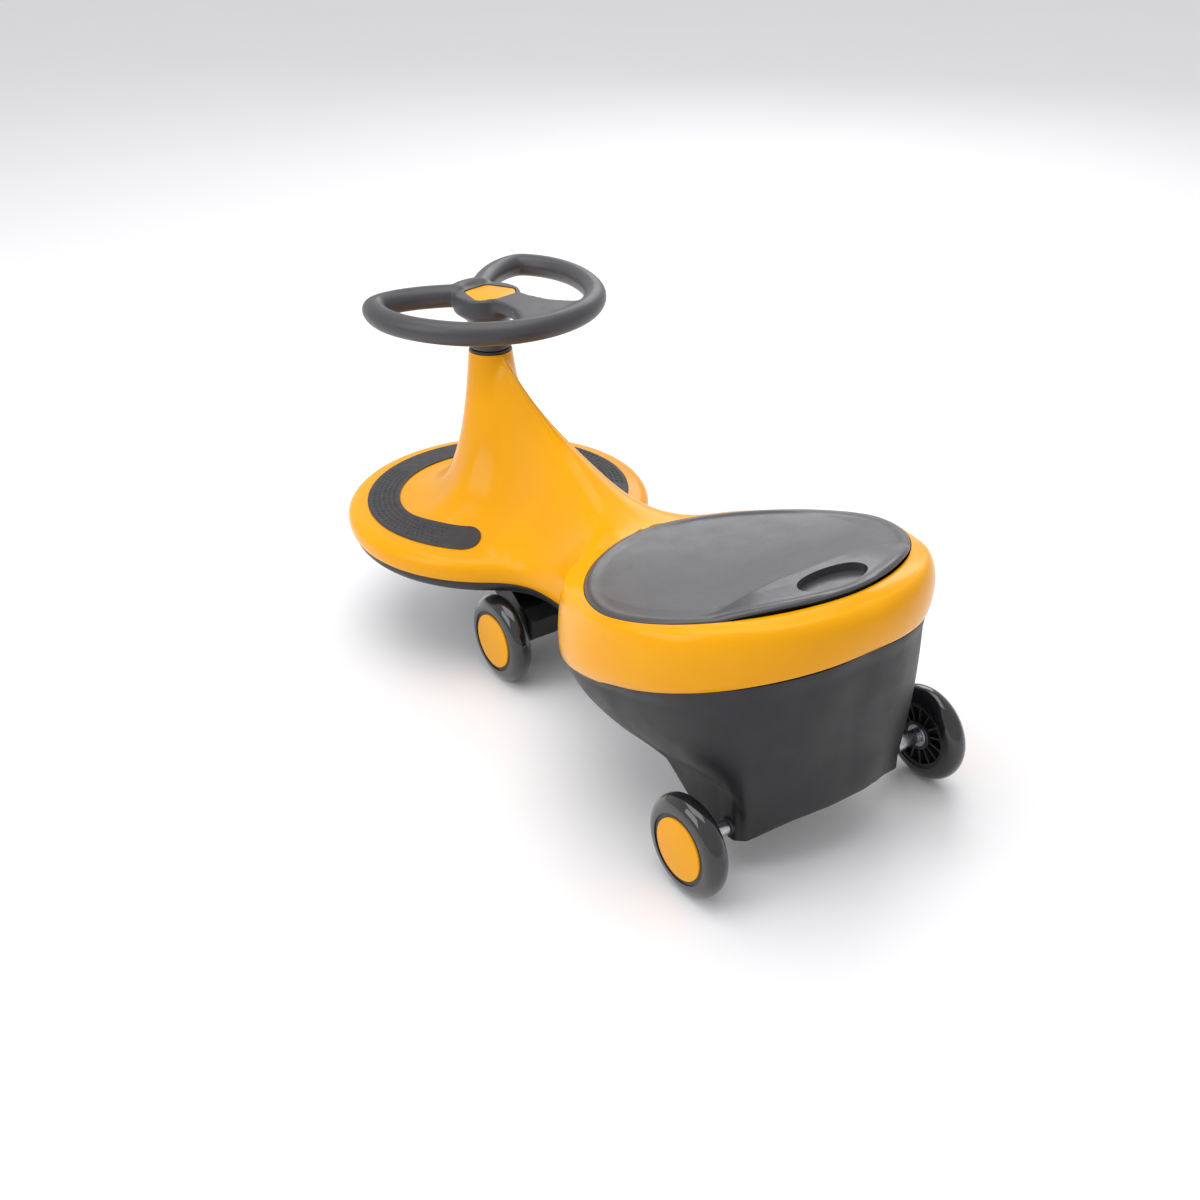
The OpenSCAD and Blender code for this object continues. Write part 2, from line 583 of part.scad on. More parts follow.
tyre_half = tyre_width / 2;
bearing_out = tyre_half - bearing_w;                // outer bearing's outboard face
bearing_shoulder = 2;
axle_nut_h = 5.5;
axle_end = bearing_out + 0.3 + axle_nut_h + 0.2;
spacer_r = 7;
// Places a wheel part whose outboard side is +Z
module wheel_at(side, track, y) {
    translate([side * track / 2, y, axle_z]) rotate([0, side * 90, 0]) children();
}
module tyre() {
    crown = wheel_d / 2 - core_radius;
    color(smoke_black) rotate_extrude() polygon([for (a = [-90:10:90])
        [core_radius + crown * cos(a), tyre_half * sin(a)]]);
}
module core() {
    color(black_plastic) union() {
        tube(-tyre_half + 1, tyre_half - 1, core_radius, cap_radius);
        tube(-4, -0.5, cap_radius + 0.5, bearing_d / 2);
        tube(-tyre_half, bearing_out, bearing_d / 2 + 3.5, bearing_d / 2);
        tube(bearing_out - bearing_w - bearing_shoulder, bearing_out - bearing_w,
            bearing_d / 2 + 1, bearing_d / 2 - 2);
        for (a = [0:24:336]) rotate([0, 0, a])
            translate([bearing_d / 2 + 2, -0.9, -tyre_half + 2.5])
            cube([cap_radius - bearing_d / 2 - 1.6, 1.8, tyre_half - 5.5]);
    }
}
module wheel_cap() {
    rise = 1.8;
    color(yellow) rotate_extrude() polygon(concat(
        [for (s = [0:8]) [cap_radius * s / 8, tyre_half + 0.5 + rise * (1 - pow(s / 8, 2))]],
        [[cap_radius, tyre_half - 2.5], [cap_radius - 2, tyre_half - 2.5],
        [cap_radius - 2, tyre_half - 0.6], [0, tyre_half - 0.6]]));
}
module wheel_bearings() {
    color(steel) {
        tube(bearing_out - bearing_w, bearing_out, bearing_d / 2, axle_d / 2 + axle_clearance);
        tube(-tyre_half, bearing_out - bearing_w - bearing_shoulder, bearing_d / 2,
            axle_d / 2 + axle_clearance);
    }
}
module axle(track, y) {
    color(steel) translate([0, y, axle_z]) rotate([0, 90, 0])
        cylinder(h = track + 2 * axle_end, r = axle_d / 2, center = true);
}
module axle_nuts(track, y) {
    color(steel) for (side = [-1, 1]) wheel_at(side, track, y)
        hex_nut(bearing_out + 0.3, 13, axle_nut_h, axle_d / 2);
}
module spacers(track, y, from_x) {
    color(steel) for (side = [-1, 1]) wheel_at(side, track, y)
        tube(from_x - track / 2, -tyre_half - 0.3, spacer_r, axle_d / 2);
}
module rear_axle() axle(rear_track, rear_axle_y);
module rear_axle_nuts() axle_nuts(rear_track, rear_axle_y);
module rear_spacers() spacers(rear_track, rear_axle_y, axle_boss_x);
module front_axle() axle(front_track, front_axle_y);
module front_axle_nuts() axle_nuts(front_track, front_axle_y);
module front_spacers() spacers(front_track, front_axle_y, block_half_width);
module rear_axle_bushes() {
    color(black_plastic) for (side = [-1, 1]) wheel_at(side, 0, rear_axle_y)
        tube(leg_inner - 1, axle_boss_x, axle_bush_r, axle_d / 2);
}

// Wheel parts, one set at each corner
module front_left_core() { wheel_at(1, front_track, front_axle_y) core(); }
module front_left_tyre() { wheel_at(1, front_track, front_axle_y) tyre(); }
module front_left_cap() { wheel_at(1, front_track, front_axle_y) wheel_cap(); }
module front_left_bearings() { wheel_at(1, front_track, front_axle_y) wheel_bearings(); }
module front_right_core() { wheel_at(-1, front_track, front_axle_y) core(); }
module front_right_tyre() { wheel_at(-1, front_track, front_axle_y) tyre(); }
module front_right_cap() { wheel_at(-1, front_track, front_axle_y) wheel_cap(); }
module front_right_bearings() { wheel_at(-1, front_track, front_axle_y) wheel_bearings(); }
module rear_left_core() { wheel_at(1, rear_track, rear_axle_y) core(); }
module rear_left_tyre() { wheel_at(1, rear_track, rear_axle_y) tyre(); }
module rear_left_cap() { wheel_at(1, rear_track, rear_axle_y) wheel_cap(); }
module rear_left_bearings() { wheel_at(1, rear_track, rear_axle_y) wheel_bearings(); }
module rear_right_core() { wheel_at(-1, rear_track, rear_axle_y) core(); }
module rear_right_tyre() { wheel_at(-1, rear_track, rear_axle_y) tyre(); }
module rear_right_cap() { wheel_at(-1, rear_track, rear_axle_y) wheel_cap(); }
module rear_right_bearings() { wheel_at(-1, rear_track, rear_axle_y) wheel_bearings(); }

upper_shell();
lower_shell();
seat();
seat_tray();
foot_grip();
column_sleeve();
upper_bush();
lower_bush();
shell_screws();
rear_axle();
rear_axle_bushes();
rear_axle_nuts();
rear_spacers();
steering_wheel();
hub_cap();
hub_nut();
hub_washer();
steering_shaft();
bogie();
bogie_nut();
thrust_washer();
front_axle();
front_axle_nuts();
front_spacers();
front_left_core();
front_left_tyre();
front_left_cap();
front_left_bearings();
front_right_core();
front_right_tyre();
front_right_cap();
front_right_bearings();
rear_left_core();
rear_left_tyre();
rear_left_cap();
rear_left_bearings();
rear_right_core();
rear_right_tyre();
rear_right_cap();
rear_right_bearings();
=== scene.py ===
import json
import bpy
from math import atan, atan2, cos, exp, pi, radians, sin, sqrt, tan
from mathutils import Matrix, Vector
from mathutils.bvhtree import BVHTree


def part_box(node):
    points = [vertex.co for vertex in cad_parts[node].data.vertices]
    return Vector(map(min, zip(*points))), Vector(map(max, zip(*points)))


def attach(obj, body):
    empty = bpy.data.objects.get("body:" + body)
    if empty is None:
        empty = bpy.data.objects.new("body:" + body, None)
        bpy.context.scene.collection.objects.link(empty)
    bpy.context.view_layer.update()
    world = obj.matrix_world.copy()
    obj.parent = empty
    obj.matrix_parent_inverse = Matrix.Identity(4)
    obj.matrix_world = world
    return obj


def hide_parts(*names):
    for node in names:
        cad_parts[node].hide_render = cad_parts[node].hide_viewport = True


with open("model.json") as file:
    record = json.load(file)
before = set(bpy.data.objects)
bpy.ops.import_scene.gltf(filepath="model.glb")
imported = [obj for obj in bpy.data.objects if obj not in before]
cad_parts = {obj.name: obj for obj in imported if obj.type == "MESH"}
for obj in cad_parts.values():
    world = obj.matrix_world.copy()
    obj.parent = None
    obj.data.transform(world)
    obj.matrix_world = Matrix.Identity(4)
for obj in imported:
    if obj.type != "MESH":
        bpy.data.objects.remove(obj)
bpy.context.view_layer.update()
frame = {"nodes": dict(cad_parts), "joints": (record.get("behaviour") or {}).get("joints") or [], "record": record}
joints = {j["name"]: Vector(j["pos_m"]) * 1000 for j in frame["joints"]}  # millimetres
mm = 0.001  # pieces are shaped in millimetres and scaled to metres when they are finished


def clearSelection():
    for o in bpy.context.selected_objects:
        o.select_set(False)


def pick(*objects):
    clearSelection()
    for o in objects:
        o.select_set(True)
    bpy.context.view_layer.objects.active = objects[0]


clearSelection()


def nodeBox(name):
    low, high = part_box(name)
    return low * 1000, high * 1000


# ---- materials ----


def hexColor(text):
    def channel(k):
        c = int(text[k:k + 2], 16) / 255
        return c / 12.92 if c <= 0.04045 else ((c + 0.055) / 1.055) ** 2.4
    return (channel(1), channel(3), channel(5), 1)


def addNode(tree, kind, settings, links):
    node = tree.nodes.new(kind)
    for name, value in settings.items():
        if name in node.inputs:
            node.inputs[name].default_value = value
        else:
            setattr(node, name, value)
    for name, source in links.items():
        tree.links.new(source, node.inputs[name])
    return node


def newMaterial(name, shaderSettings):
    material = bpy.data.materials.new(name)
    material.use_nodes = True
    tree = material.node_tree
    shader = tree.nodes["Principled BSDF"]
    for key, value in shaderSettings.items():
        shader.inputs[key].default_value = value
    place = addNode(tree, "ShaderNodeTexCoord", {}, {}).outputs["Object"]
    return material, tree, shader, place


def mottle(tree, shader, place, base, other, size, share):
    # two close shades in soft patches of a given size in millimetres
    noise = addNode(tree, "ShaderNodeTexNoise", {"Scale": 1000 / size, "Detail": 3.0}, {"Vector": place})
    ramp = addNode(tree, "ShaderNodeMapRange", {"From Min": 0.35, "From Max": 0.65, "To Max": share},
                   {"Value": noise.outputs["Fac"]})
    blend = addNode(tree, "ShaderNodeMix", {"data_type": "RGBA"}, {"Factor": ramp.outputs["Result"]})
    blend.inputs["A"].default_value = blend.inputs[6].default_value = hexColor(base)
    blend.inputs[7].default_value = hexColor(other)
    tree.links.new(blend.outputs[2], shader.inputs["Base Color"])
    return noise


def roughen(tree, shader, place, low, high, size):
    noise = addNode(tree, "ShaderNodeTexNoise", {"Scale": 1000 / size, "Detail": 4.0}, {"Vector": place})
    ramp = addNode(tree, "ShaderNodeMapRange", {"From Min": 0.3, "From Max": 0.7, "To Min": low,
                                                "To Max": high}, {"Value": noise.outputs["Fac"]})
    tree.links.new(ramp.outputs["Result"], shader.inputs["Roughness"])


def grain(tree, shader, height, strength, depth):
    bump = addNode(tree, "ShaderNodeBump", {"Strength": strength, "Distance": depth * mm},
                   {"Height": height})
    tree.links.new(bump.outputs["Normal"], shader.inputs["Normal"])


def makeShellGloss():
    # injection moulded ABS straight from a polished tool: clean, wet-looking yellow
    material, tree, shader, place = newMaterial("shellGlossAbs", {
        "IOR": 1.53, "Specular IOR Level": 0.15, "Coat Weight": 0.08, "Coat Roughness": 0.06})
    noise = mottle(tree, shader, place, "#ECA300", "#E79D00", 90, 0.7)
    roughen(tree, shader, place, 0.2, 0.27, 40)
    grain(tree, shader, noise.outputs["Fac"], 0.05, 2)  # slow waves of a thin moulded wall
    return material


def makeShellMatt():
    # polypropylene from a spark-eroded tool: even matt grain, light scuffs
    material, tree, shader, place = newMaterial("shellMattPp", {"IOR": 1.49})
    mottle(tree, shader, place, "#1B1A1D", "#212023", 35, 0.8)
    roughen(tree, shader, place, 0.42, 0.54, 25)
    spark = addNode(tree, "ShaderNodeTexNoise", {"Scale": 1000 / 1.4, "Detail": 2.0}, {"Vector": place})
    grain(tree, shader, spark.outputs["Fac"], 0.12, 0.25)  # drawn coarser than its 0.1 mm grit
    return material


def makeSeatVinyl():
    # thin vinyl film over a moulded pan: satin with fine crinkles
    material, tree, shader, place = newMaterial("seatVinylFilm", {"IOR": 1.52, "Coat Weight": 0.15,
                                                                  "Coat Roughness": 0.2})
    mottle(tree, shader, place, "#38373B", "#403F43", 60, 0.9)
    roughen(tree, shader, place, 0.3, 0.42, 30)
    crinkle = addNode(tree, "ShaderNodeTexNoise", {"Scale": 1000 / 26, "Detail": 5.0, "Distortion": 1.6},
                      {"Vector": place})
    grain(tree, shader, crinkle.outputs["Fac"], 0.22, 1.6)
    return material


def makeGripRubber():
    # soft overmoulded rubber: dull and slightly dusty
    material, tree, shader, place = newMaterial("gripRubber", {"IOR": 1.5})
    mottle(tree, shader, place, "#2F2E32", "#363538", 12, 0.8)
    roughen(tree, shader, place, 0.55, 0.68, 10)
    return material


def makeWheelSatin():
    # steering wheel's soft-touch plastic: broad, dim highlights
    material, tree, shader, place = newMaterial("steeringSoftTouch", {"IOR": 1.5, "Sheen Weight": 0.05})
    mottle(tree, shader, place, "#39383C", "#3F3E42", 40, 0.7)
    roughen(tree, shader, place, 0.36, 0.46, 20)
    spark = addNode(tree, "ShaderNodeTexNoise", {"Scale": 1000 / 1.2, "Detail": 2.0}, {"Vector": place})
    grain(tree, shader, spark.outputs["Fac"], 0.08, 0.2)
    return material


def makeBlackPlastic():
    # plain black nylon mouldings under the car
    material, tree, shader, place = newMaterial("blackNylon", {"IOR": 1.53})
    mottle(tree, shader, place, "#17171A", "#1E1E21", 18, 0.8)
    roughen(tree, shader, place, 0.34, 0.5, 15)
    return material


def makeSmokyPu():
    # cast polyurethane tyre: dark smoky resin, glassy skin, light shows at thin edges
    material, tree, shader, place = newMaterial("smokyPolyurethane", {
        "IOR": 1.5, "Transmission Weight": 0.15, "Coat Weight": 0.6, "Coat Roughness": 0.04})
    mottle(tree, shader, place, "#18181B", "#202024", 30, 0.8)
    roughen(tree, shader, place, 0.07, 0.14, 22)
    return material


def makeSteel():
    # zinc plated steel: pale, fine turned scratches
    material, tree, shader, place = newMaterial("zincSteel", {"Metallic": 1.0})
    mottle(tree, shader, place, "#C6C8CC", "#AEB0B5", 9, 0.8)
    roughen(tree, shader, place, 0.2, 0.34, 6)
    return material


finishes = {
    "yellow_shell": makeShellGloss(), "charcoal_shell": makeShellMatt(), "seat_charcoal": makeSeatVinyl(),
    "grip_charcoal": makeGripRubber(), "wheel_charcoal": makeWheelSatin(),
    "black_plastic": makeBlackPlastic(), "tyre_smoke": makeSmokyPu(), "steel": makeSteel()}
slotOf = {s["node"]: s["material_slot"] for s in frame["record"]["subparts"]}
bodyOf = {n: b for b, nodes in frame["record"]["behaviour"]["bodies"].items() for n in nodes}
for nodeName, cadNode in frame["nodes"].items():
    cadNode.data.materials.clear()
    cadNode.data.materials.append(finishes[slotOf[nodeName]])
print("stage: finishes")


# ---- ways of making a piece ----


def mix(a, b, t):
    return a + (b - a) * t


def clamp(t):
    return min(1, max(0, t))


def ease(t):
    c = clamp(t)
    return c * c * (3 - 2 * c)


def softMin(a, b, c):
    return (a + b - sqrt((a - b) ** 2 + c * c)) / 2


def grid(name, columns, rows, place):
    # a flat grid whose square is laid out by place(u, w), with what meets welded
    bpy.ops.mesh.primitive_grid_add(x_subdivisions=columns, y_subdivisions=rows, size=2)
    piece = bpy.context.object
    piece.name = name
    for v in piece.data.vertices:
        v.co = place((v.co.x + 1) / 2, (v.co.y + 1) / 2)
    bpy.ops.object.mode_set(mode="EDIT")
    bpy.ops.mesh.select_all(action="SELECT")
    bpy.ops.mesh.remove_doubles(threshold=0.02)
    bpy.ops.mesh.normals_make_consistent(inside=False)
    bpy.ops.object.mode_set(mode="OBJECT")
    return piece


def revolve(name, columns, profile):
    # profile is a closed loop of (radius, height) points, turned about Z
    closed = profile + profile[:1]
    last = len(closed) - 1

    def place(u, w):
        r, h = closed[round(w * last)]
        return (r * cos(2 * pi * u), r * sin(2 * pi * u), h)
    return grid(name, columns, last, place)


def applyModifier(piece, kind, **settings):
    pick(piece)
    modifier = piece.modifiers.new(kind.title(), kind)
    for key, value in settings.items():
        setattr(modifier, key, value)
    bpy.ops.object.modifier_apply(modifier=modifier.name)


def cut(piece, tool):
    applyModifier(piece, "BOOLEAN", object=tool, operation="DIFFERENCE", solver="EXACT")
    bpy.data.objects.remove(tool)


def joined(name, *parts):
    pick(*parts)
    if len(parts) > 1:
        bpy.ops.object.join()
    parts[0].name = name
    return parts[0]


def block(x0, x1, y0, y1, z0, z1):
    bpy.ops.mesh.primitive_cube_add(size=1)
    piece = bpy.context.object
    size = Matrix.Diagonal((x1 - x0, y1 - y0, z1 - z0, 1))
    piece.data.transform(Matrix.Translation(((x0 + x1) / 2, (y0 + y1) / 2, (z0 + z1) / 2)) @ size)
    return piece


def outlineBlock(points, z0, z1):
    # an upright prism over an outline, extruded from a filled ring of points
    bpy.ops.mesh.primitive_circle_add(vertices=len(points), radius=1, fill_type="NGON")
    piece = bpy.context.object
    for v, (x, y) in zip(piece.data.vertices, points):
        v.co = (x, y, z0)
    bpy.ops.object.mode_set(mode="EDIT")
    bpy.ops.mesh.select_all(action="SELECT")
    bpy.ops.mesh.extrude_region_move(TRANSFORM_OT_translate={"value": (0, 0, z1 - z0)})
    bpy.ops.mesh.select_all(action="SELECT")
    bpy.ops.mesh.normals_make_consistent(inside=False)
    bpy.ops.object.mode_set(mode="OBJECT")
    return piece


def roundedOutline(corners, radius, steps=6):
    # corners are (x, y) in order, anticlockwise; each is replaced by an arc
    points = []
    count = len(corners)
    for k, c in enumerate(corners):
        here, before, after = Vector(c), Vector(corners[k - 1]), Vector(corners[(k + 1) % count])
        a, b = (before - here).normalized(), (after - here).normalized()
        half = a.angle(b) / 2
        centre = here + (a + b).normalized() * radius / sin(half)
        start = here + a * radius / tan(half) - centre
        turn = pi - 2 * half
        for s in range(steps + 1):
            t = turn * s / steps
            points.append((centre.x + start.x * cos(t) - start.y * sin(t),
                           centre.y + start.x * sin(t) + start.y * cos(t)))
    return points


def smoothShade(piece, angle=35):
    pick(piece)
    bpy.ops.object.shade_smooth_by_angle(angle=radians(angle))


def fit(piece, node, scaled=False, angle=35):
    # scales a finished piece to metres, dresses it and lets it stand for its CAD node
    if not scaled:
        piece.data.transform(Matrix.Scale(mm, 4))
    smoothShade(piece, angle)
    piece.data.materials.clear()
    piece.data.materials.append(finishes[slotOf[node]])
    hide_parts(node)
    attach(piece, bodyOf[node])
    return piece


def softened(node, width, segments=3, angle=30):
    # a node's own solid with its edges rounded
    piece = bpy.data.objects.new(node + "Soft", frame["nodes"][node].data.copy())
    bpy.context.collection.objects.link(piece)
    pick(piece)
    bpy.ops.object.mode_set(mode="EDIT")
    bpy.ops.mesh.select_all(action="SELECT")
    bpy.ops.mesh.remove_doubles(threshold=0.00001)
    bpy.ops.mesh.dissolve_limited(angle_limit=radians(2))
    bpy.ops.object.mode_set(mode="OBJECT")
    applyModifier(piece, "BEVEL", width=width * mm, segments=segments, limit_method="ANGLE",
                  angle_limit=radians(angle), harden_normals=False, use_clamp_overlap=True)
    return fit(piece, node, scaled=True)


# ---- the body's lines, shared by both shells, seat and grip ----

upperHigh = nodeBox("upper_shell")[1]
steerY = joints["steer"].y
rearY = joints["rear_left_spin"].y
axleZ = joints["rear_left_spin"].z
bodyLines = {
    "platformRadius": upperHigh.x, "neckHeight": upperHigh.z, "neckRadius": 23, "parting": 112,
    "partingSlope": 0.31, "waistHalfWidth": 66, "waistShare": 1.32, "bowlHalfWidth": 160,
    "bowlHalfLength": 168, "seatHalfWidth": 152, "seatHalfLength": 142, "seatHeight": 227,
    "seatSlope": 0.2, "platformRim": 26, "arcEnd": 52, "bowlStart": -50}
ribsA, ribsB, ribsC = 14, 5, 18  # round the platform, along each half of the waist, round the bowl
neckLast = ribsA - 2
seatFirst = ribsA + 2 * ribsB
lastRib = seatFirst + ribsC
bowlY = upperHigh.y - bodyLines["bowlHalfLength"]
seatY = bowlY - 1
platformTop = bodyLines["parting"] + bodyLines["platformRim"]
waistY = steerY + bodyLines["waistShare"] * bodyLines["platformRadius"]


def arc(r, a):
    return Vector((r * cos(radians(a)), steerY + r * sin(radians(a))))


def oval(a, halfWidth, halfLength, y, power, taper=0):
    c, s = max(0, cos(radians(a))), sin(radians(a))
    return Vector((halfWidth * c ** (2 / power) * (1 + taper * s),
                   y + halfLength * (1 if s > 0 else -1) * abs(s) ** (2 / power)))


def bezier(a, b, c, d, t):
    s = 1 - t
    return s * s * s * a + 3 * s * s * t * b + 3 * s * t * t * c + t * t * t * d


def bowlEdge(a):
    return oval(a, bodyLines["bowlHalfWidth"], bodyLines["bowlHalfLength"], bowlY, 2.12)


def seatEdge(a, inset=0):
    return oval(a, bodyLines["seatHalfWidth"] - inset, bodyLines["seatHalfLength"] - inset, seatY, 1.8, 0.07)


waist = Vector((bodyLines["waistHalfWidth"], waistY))
arcLast = arc(bodyLines["platformRadius"], bodyLines["arcEnd"])
arcWay = Vector((-sin(radians(bodyLines["arcEnd"])), cos(radians(bodyLines["arcEnd"]))))
bowlFirst = bowlEdge(bodyLines["bowlStart"])
bowlWay = (bowlEdge(bodyLines["bowlStart"] + 1) - bowlEdge(bodyLines["bowlStart"] - 1)).normalized()


def outlineAt(i):
    # half of the plan outline, from the front tip over the waist to the back tip
    if i <= ribsA:
        return arc(bodyLines["platformRadius"], mix(-90, bodyLines["arcEnd"], i / ribsA))
    if i <= ribsA + ribsB:
        return bezier(arcLast, arcLast + 46 * arcWay, waist - Vector((0, 40)), waist, (i - ribsA) / ribsB)
    if i <= seatFirst:
        return bezier(waist, waist + Vector((0, 30)), bowlFirst - 30 * bowlWay, bowlFirst,
                      (i - ribsA - ribsB) / ribsB)
    return bowlEdge(mix(bodyLines["bowlStart"], 90, (i - seatFirst) / ribsC))


def partingZ(y):
    v = y - (bowlY - 153)
    return bodyLines["parting"] + bodyLines["partingSlope"] * (v + sqrt(v * v + 900)) / 2 - 0.1


def seatZ(y):
    return (bodyLines["seatHeight"] + bodyLines["seatSlope"] * (y - seatY) + 1.8 * ((y - seatY) / 100) ** 2)


spineStart = steerY + bodyLines["neckRadius"]
spineEnd = seatY - bodyLines["seatHalfLength"]


def spineZ(y):
    v = clamp((y - spineStart) / (spineEnd - spineStart))
    return seatZ(spineEnd) + (bodyLines["neckHeight"] - seatZ(spineEnd)) * (1 - v) ** 1.55


def seatRibAngle(i):
    return -90 + 180 * (1 - (1 - (i - seatFirst) / ribsC) ** 1.6)


def ribStart(i):
    # neck circle, then the spine, then the seat opening
    if i <= neckLast:
        p = arc(bodyLines["neckRadius"], -90 + 180 * i / neckLast)
        return Vector((p.x, p.y, bodyLines["neckHeight"]))
    if i < seatFirst:
        y = mix(spineStart, spineEnd, ((i - neckLast) / (seatFirst - neckLast)) ** 0.9)
        return Vector((0, y, spineZ(y)))
    p = seatEdge(seatRibAngle(i))
    return Vector((p.x, p.y, seatZ(p.y)))


def shoulder(i):
    s, e = ribStart(i), outlineAt(i)
    d = (s.xy - e).length
    p = mix(s.xy, e, 1 - min(16, 0.75 * d) / d)
    rise = ease((e.y - waistY + 90) / 170) if i >= neckLast else 0
    return Vector((p.x, p.y, mix(platformTop, seatZ(s.y) - 3, rise)))


def fall(i, t, d):
    coneWidth = mix(16.5, 70, min(1, i / neckLast) ** 6)
    k = d / coneWidth
    cone = (exp(-k * t) - exp(-k)) / (1 - exp(-k))
    c = mix(26, 150, clamp((i - ribsA) / 6) ** 1.2) / d
    edge = 1 / (1 + 1 / (c * c))
    bell = (1 / (1 + (t / c) ** 2) - edge) / (1 - edge)
    if i <= neckLast:
        return mix(cone, bell, ease((i - neckLast + 3) / 4))
    return mix(bell, cos(pi / 2 * t), ease((i - seatFirst + 9) / 6))


def inward(i):
    return (ribStart(i).xy - outlineAt(i)).normalized()


def partingAt(i):
    e = outlineAt(i)
    p = e + mix(4, 9.5, ease((e.y - waistY) / 140)) * inward(i)
    return Vector((p.x, p.y, partingZ(e.y)))


def bothSides(u, half):
    # the whole loop from one half of the body: u runs 0 to 1 round it
    i = u * 2 * lastRib
    p = half(i if i <= lastRib else 2 * lastRib - i)
    x = 0 if abs(p.x) < 0.02 else p.x
    return (x if i <= lastRib else -x, p.y, p.z)


# ---- upper shell ----

upperShape = {"wall": 3, "columns": 336, "rows": 64, "slopeShare": 0.62, "shoulderShare": 0.24}


def upperPoint(i, w):
    slopeShare = upperShape["slopeShare"]
    e = outlineAt(i)
    s = shoulder(i)
    if w <= slopeShare:
        start = ribStart(i)
        t = (w / slopeShare) ** 1.35
        z = s.z + (start.z - s.z) * fall(i, t, (start.xy - s.xy).length)
        return Vector((mix(start.x, s.x, t), mix(start.y, s.y, t), z))
    bulge = partingZ(e.y) + mix(13, 27, ease((e.y - waistY) / 140))
    w = (w - slopeShare) / upperShape["shoulderShare"]
    if w <= 1:
        a = pi / 2 * w
        return Vector((mix(s.x, e.x, sin(a)), mix(s.y, e.y, sin(a)), mix(bulge, s.z, cos(a))))
    p = partingAt(i)
    a = pi / 2 * min(1, (w - 1) * upperShape["shoulderShare"]
                     / (1 - slopeShare - upperShape["shoulderShare"]))
    return Vector((mix(p.x, e.x, cos(a)), mix(p.y, e.y, cos(a)), mix(bulge, p.z, sin(a))))


upperShell = grid("upperShell", upperShape["columns"], upperShape["rows"],
                  lambda u, w: bothSides(u, lambda i: upperPoint(i, w)))
# the neck flows into the saddle and platform without creases; the moulded edges keep their line
flow = upperShell.vertex_groups.new(name="flow")
for v in upperShell.data.vertices:
    x, y, z = v.co
    seatSide = (sqrt((x / bodyLines["seatHalfWidth"]) ** 2 + ((y - seatY) / bodyLines["seatHalfLength"]) ** 2)
                - 1) * bodyLines["seatHalfLength"]
    share = clamp((bodyLines["neckHeight"] - z - 4) / 25) * clamp((seatSide - 12) / 25)
    share *= clamp((z - platformTop + 1) / 3)
    flow.add([v.index], share, "REPLACE")
applyModifier(upperShell, "SMOOTH", factor=0.5, iterations=120, vertex_group="flow")
upperSurface = BVHTree.FromPolygons([v.co for v in upperShell.data.vertices],
                                    [f.vertices for f in upperShell.data.polygons])
applyModifier(upperShell, "SOLIDIFY", thickness=upperShape["wall"], offset=-1, use_even_offset=False)
fit(upperShell, "upper_shell")
print("stage: upper shell")


# ---- lower shell ----

lowerShape = {"wall": 3, "columns": 336, "rows": 84, "gap": 0.3, "panZ": nodeBox("lower_bush")[0].z + 3,
              "bellyZ": 78, "beamZ": nodeBox("lower_shell")[0].z, "floorShare": 0.34,
              "holeRadius": 18.3, "archHalfWidth": 80, "archHeight": 25, "archBulge": 17}
legPath = [(0.36, 103, 232, 74), (0.45, 100, 266, 45), (0.52, 97, 297, 34), (0.62, 97, 318, 34),
           (0.70, 89, 326, 34), (1.0, 0, 327, 34)]  # share round the bowl, then the leg's lower edge


def lowerEdge(i):
    # the shell's lowest line: pan edge, bowl belly, then down the leg and across the back
    share = clamp((i - seatFirst) / ribsC)
    flatShare = ease((i - ribsA - ribsB) / 14)
    b = oval(mix(-78, 90, share ** 0.8), 104, 108, rearY - 71, 2.4)
    o = outlineAt(i) + 12 * inward(i)
    flat = Vector((mix(o.x, b.x, flatShare), mix(o.y, b.y, flatShare),
                   mix(lowerShape["panZ"], lowerShape["bellyZ"], flatShare)))
    if share <= 0.3:
        return flat
    for (s0, *a), (s1, *b) in zip(legPath, legPath[1:]):
        if share <= s1:
            t = ease((share - s0) / (s1 - s0)) if s1 < 0.6 else clamp((share - s0) / (s1 - s0))
            leg = mix(Vector(a), Vector(b), t)
            break
    return mix(flat, leg, ease((share - 0.3) / 0.08))


def wallPoint(i, v):
    top = partingAt(i) - Vector((0, 0, lowerShape["gap"]))
    low = lowerEdge(i)
    share = clamp((i - seatFirst) / ribsC)
    bowlShare = ease((i - ribsA - ribsB) / 14)
    knee = mix((top.z - lowerShape["bellyZ"] - 4) / max(1, top.z - low.z), 1, ease((share - 0.6) / 0.16))
    t = v / min(1, knee)
    curve = 0.1 * ease(v / 0.1) + 0.9 * max(0, softMin(t ** 2.3, 1, 0.1))
    h = mix(v * v, curve, bowlShare)
    h = mix(h, 1, ease((v - 0.97) / 0.03))
    p = Vector((mix(top.x, low.x, h), mix(top.y, low.y, h), mix(top.z, low.z, v)))
    arch = max(0, 1 - (low.x / lowerShape["archHalfWidth"]) ** 2) if share > 0.7 else 0
    if arch:
        archZ = lowerShape["beamZ"] + lowerShape["archHeight"] * arch ** 0.7
        if p.z < archZ:
            lift = ((p.z - lowerShape["beamZ"]) / (archZ - lowerShape["beamZ"])) ** 1.3
        else:
            lift = exp(-((p.z - archZ) / 38) ** 2)
        p.y += lowerShape["archBulge"] * arch * max(0, lift)
    return p


def keelPoint(i):
    if i <= neckLast:
        p = arc(lowerShape["holeRadius"], -90 + 180 * i / neckLast)
        return Vector((p.x, p.y, lowerShape["panZ"]))
    y = mix(steerY + lowerShape["holeRadius"], rearY - 26, clamp((i - neckLast) / (lastRib - neckLast)))
    return Vector((0, y, mix(lowerShape["panZ"], lowerShape["bellyZ"], ease((y - 25) / 150))))


